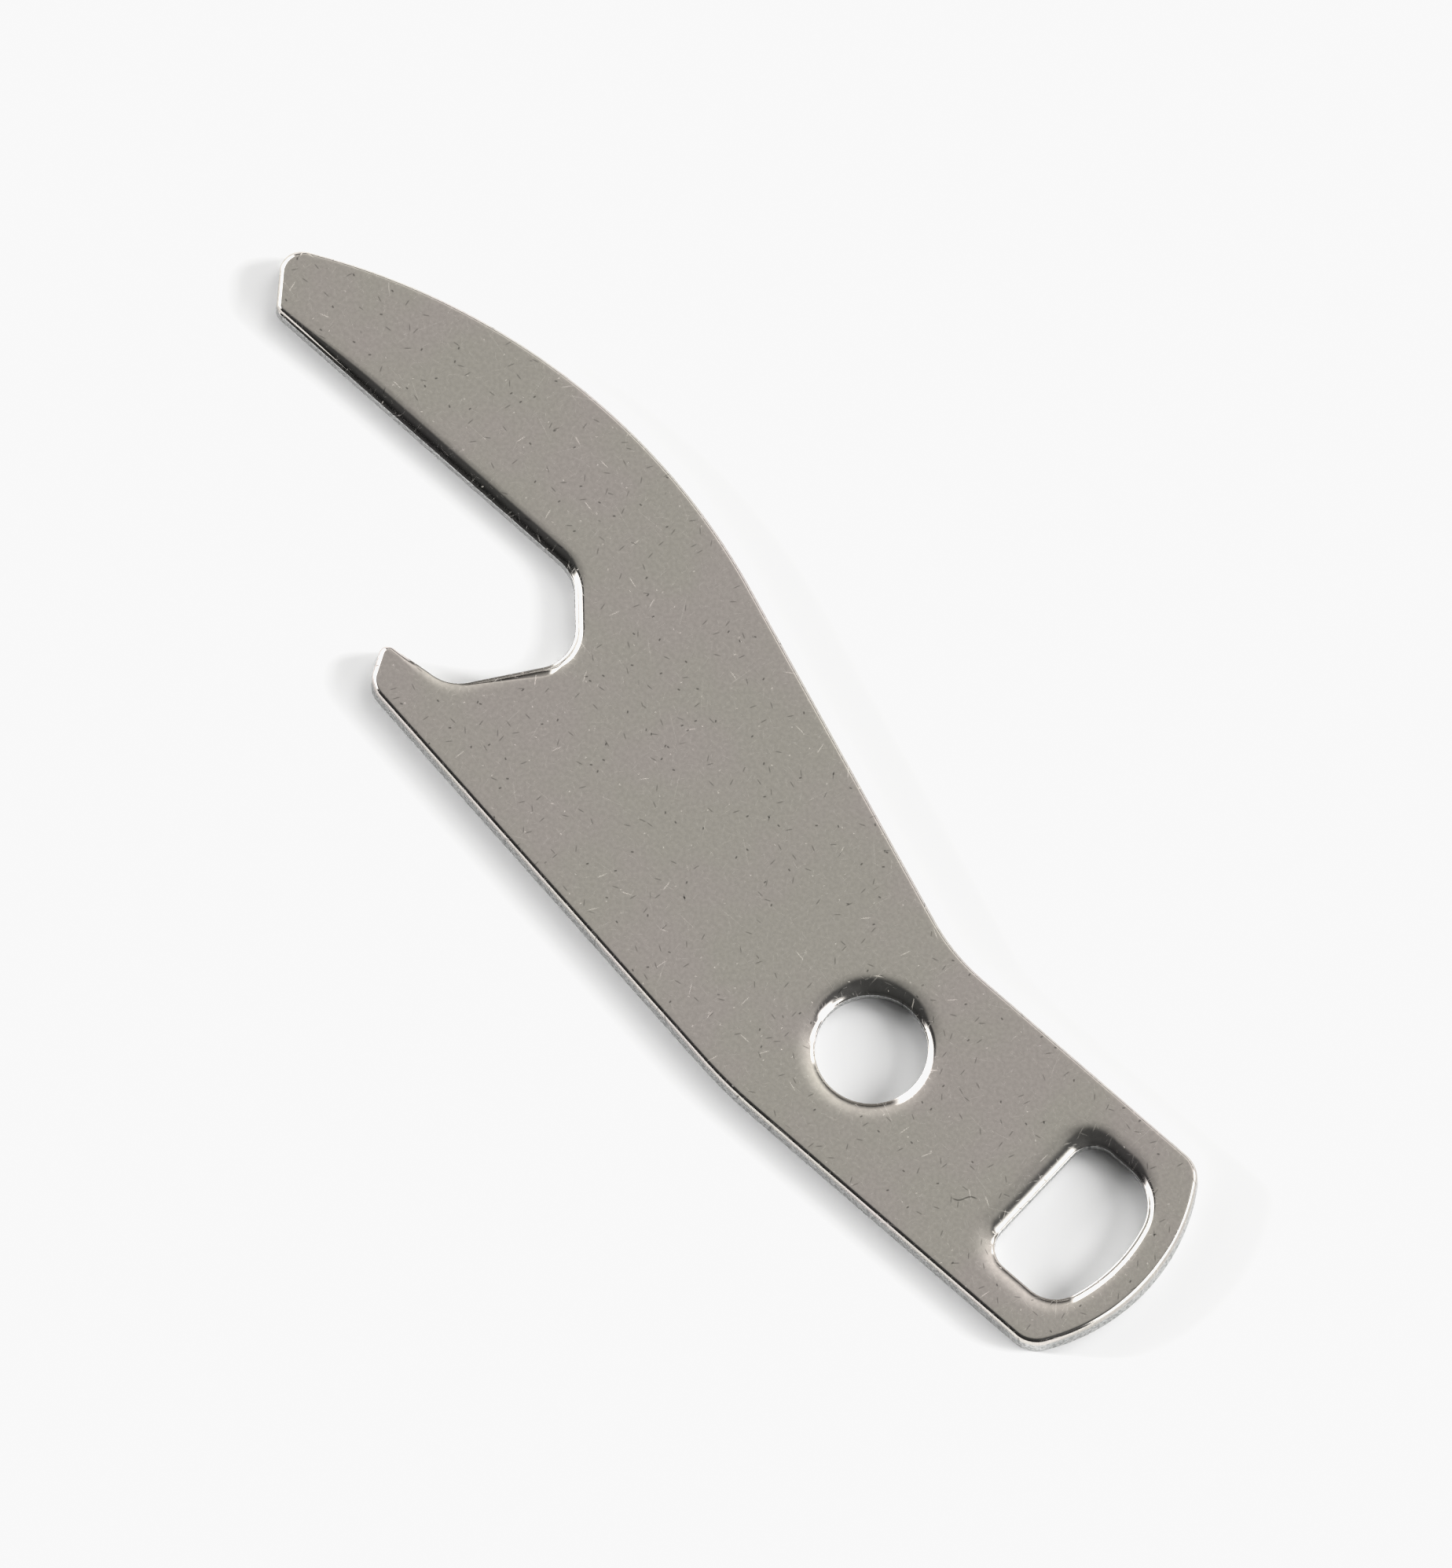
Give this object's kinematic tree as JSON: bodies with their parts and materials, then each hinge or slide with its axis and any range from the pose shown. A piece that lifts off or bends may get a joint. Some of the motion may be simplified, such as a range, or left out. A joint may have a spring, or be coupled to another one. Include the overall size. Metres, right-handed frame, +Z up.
{
  "type": "case back opener",
  "caption": "Flat one-piece steel opener with a long curved arm over a short beak, a hooked mouth between them, a round hole and a lanyard slot in the tail",
  "frame": {"origin": "centre of the round hole on the resting face", "axes": "+X along the tail towards the arm tip, +Y to the beak side, +Z up through the plate"},
  "size_m": [0.0865, 0.0285, 0.0015],
  "materials": {
    "polished_steel": "tumbled and polished, with fine random scratches"
  },
  "bodies": {
    "root": {"opener_plate": "polished_steel"}
  },
  "joints": []
}
